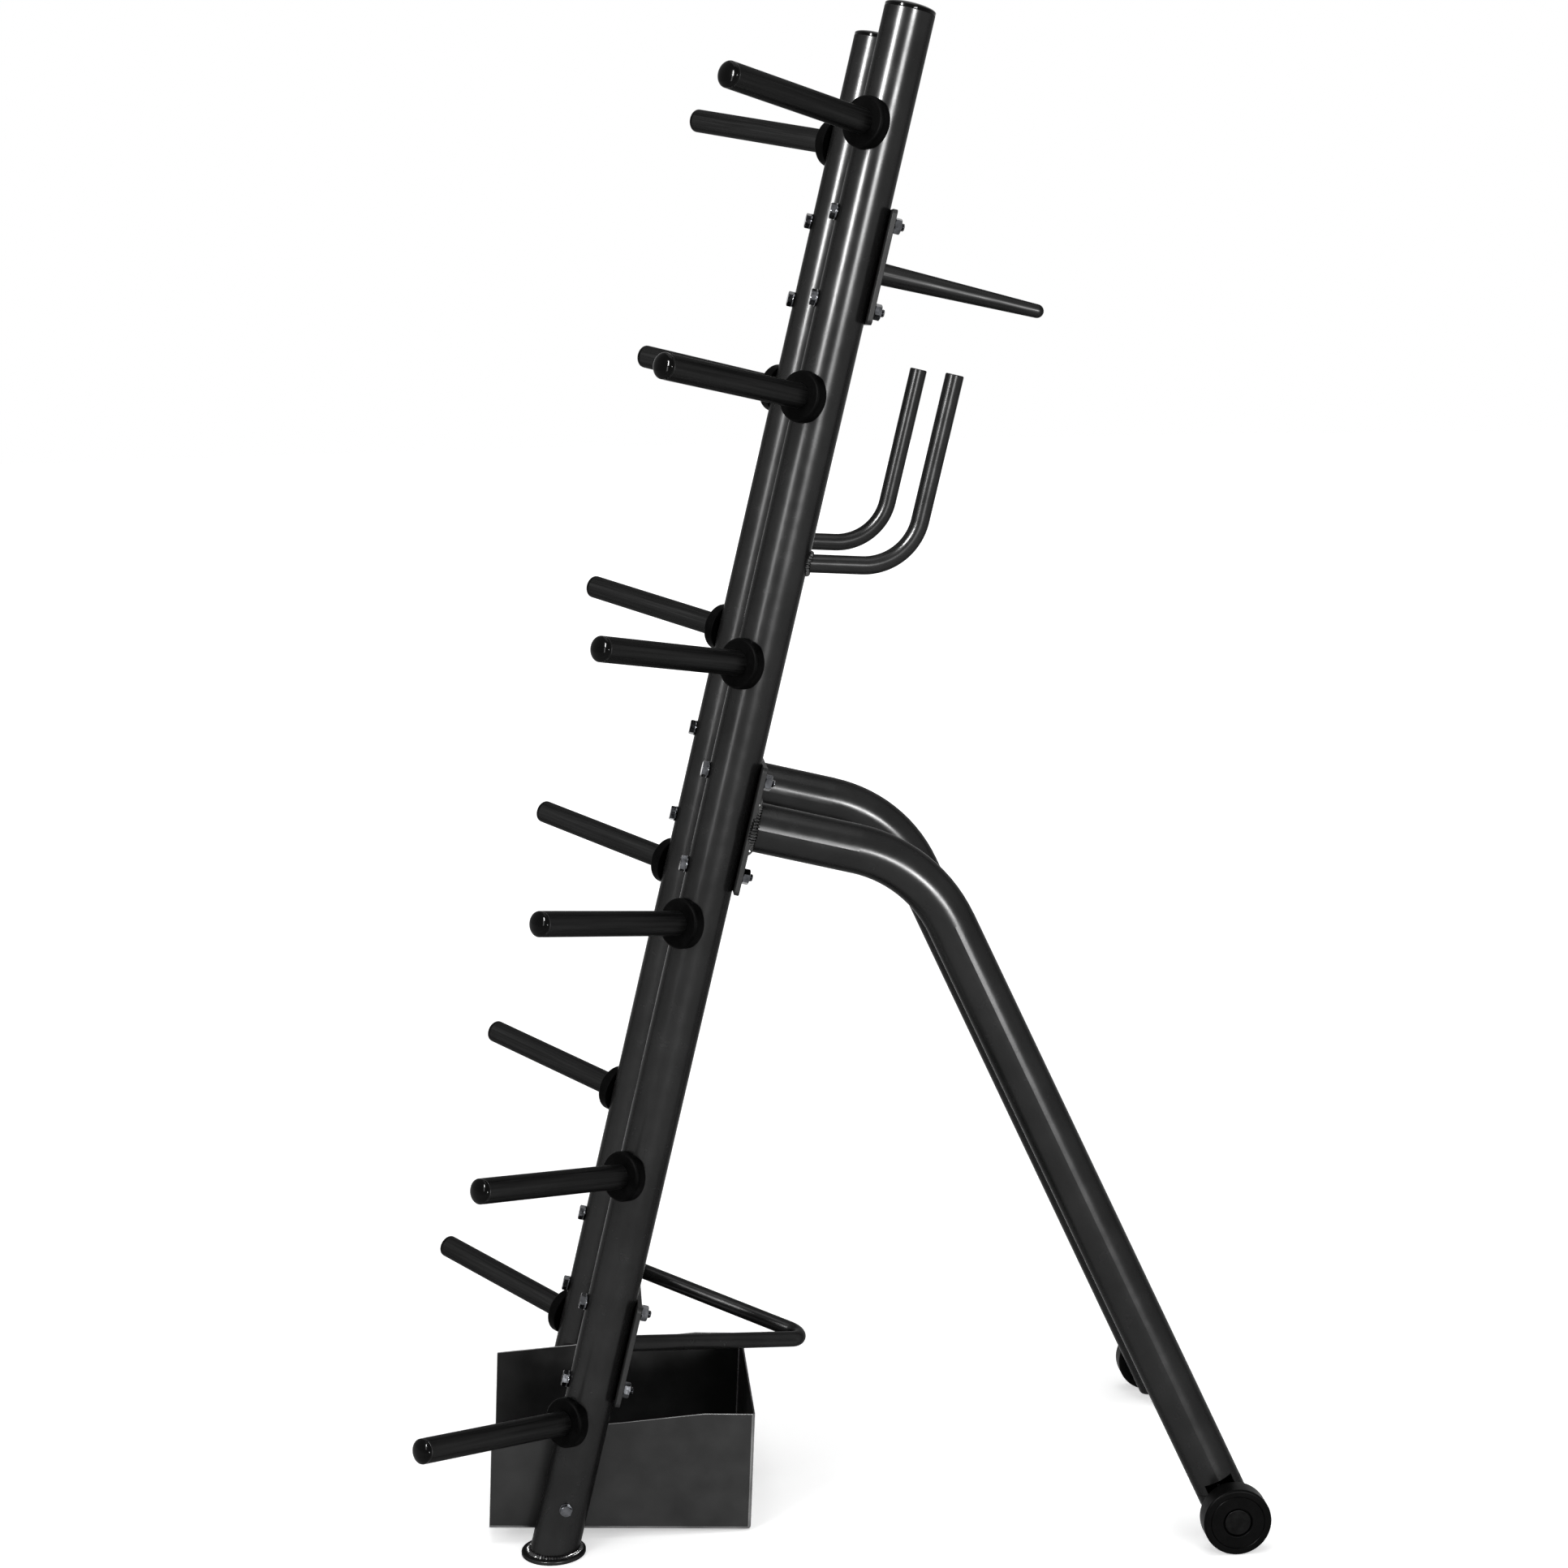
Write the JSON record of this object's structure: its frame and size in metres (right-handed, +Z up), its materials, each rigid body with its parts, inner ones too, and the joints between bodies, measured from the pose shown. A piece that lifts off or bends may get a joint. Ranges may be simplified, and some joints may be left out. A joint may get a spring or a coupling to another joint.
{
  "type": "plate tree",
  "caption": "Leaning two-post stand with splayed pegs for weight plates, rear hooks, a V loop and a floor tray for bars, and two rear wheels.",
  "frame": {"origin": "middle of the stand's bounding box, on the floor", "axes": "+X to the right as seen from the front, +Y from the plate pegs towards the rear wheels, +Z up"},
  "size_m": [0.7588, 1.0332, 1.8629],
  "materials": {
    "frame_paint": "gloss",
    "peg_paint": "satin",
    "tray_paint": "satin",
    "black_plastic": "gloss",
    "black_rubber": "matt",
    "wheel_rubber": "matt",
    "black_steel": "satin",
    "zinc": "bright zinc plate"
  },
  "bodies": {
    "stand": {"right_upright": "frame_paint", "right_upright_cap": "black_plastic", "right_foot_flange": "frame_paint", "left_upright": "frame_paint", "left_upright_cap": "black_plastic", "left_foot_flange": "frame_paint", "right_peg_1": "peg_paint", "right_peg_2": "peg_paint", "right_peg_3": "peg_paint", "right_peg_4": "peg_paint", "right_peg_5": "peg_paint", "right_peg_6": "peg_paint", "right_peg_cap_1": "black_plastic", "right_peg_cap_2": "black_plastic", "right_peg_cap_3": "black_plastic", "right_peg_cap_4": "black_plastic", "right_peg_cap_5": "black_plastic", "right_peg_cap_6": "black_plastic", "right_peg_discs": "black_rubber", "left_peg_1": "peg_paint", "left_peg_2": "peg_paint", "left_peg_3": "peg_paint", "left_peg_4": "peg_paint", "left_peg_5": "peg_paint", "left_peg_6": "peg_paint", "left_peg_cap_1": "black_plastic", "left_peg_cap_2": "black_plastic", "left_peg_cap_3": "black_plastic", "left_peg_cap_4": "black_plastic", "left_peg_cap_5": "black_plastic", "left_peg_cap_6": "black_plastic", "left_peg_discs": "black_rubber", "upper_cross_plate": "frame_paint", "bar_peg": "frame_paint", "leg_cross_plate": "frame_paint", "lower_cross_plate": "frame_paint", "v_loop": "frame_paint", "tray": "tray_paint", "right_j_hook": "frame_paint", "right_rear_leg": "frame_paint", "right_leg_end_block": "frame_paint", "right_wheel_axle": "black_steel", "left_j_hook": "frame_paint", "left_rear_leg": "frame_paint", "left_leg_end_block": "frame_paint", "left_wheel_axle": "black_steel", "leg_end_studs": "zinc", "leg_end_nuts": "zinc", "leg_end_washers": "zinc", "axle_spacers": "black_steel", "axle_nuts": "zinc", "plate_bolts": "zinc", "plate_washers": "zinc", "plate_nuts": "zinc", "tray_bolts": "zinc", "tray_washers": "zinc", "tray_nuts": "zinc"},
    "right_wheel": {"right_wheel": "wheel_rubber"},
    "left_wheel": {"left_wheel": "wheel_rubber"}
  },
  "joints": [
    {"name": "right_wheel_spin", "type": "hinge", "parent": "stand", "child": "right_wheel", "pos_m": [0.27208, 0.4746, 0.042], "axis": [1, 0, 0], "continuous": true},
    {"name": "left_wheel_spin", "type": "hinge", "parent": "stand", "child": "left_wheel", "pos_m": [-0.27208, 0.4746, 0.042], "axis": [1, 0, 0], "continuous": true}
  ]
}
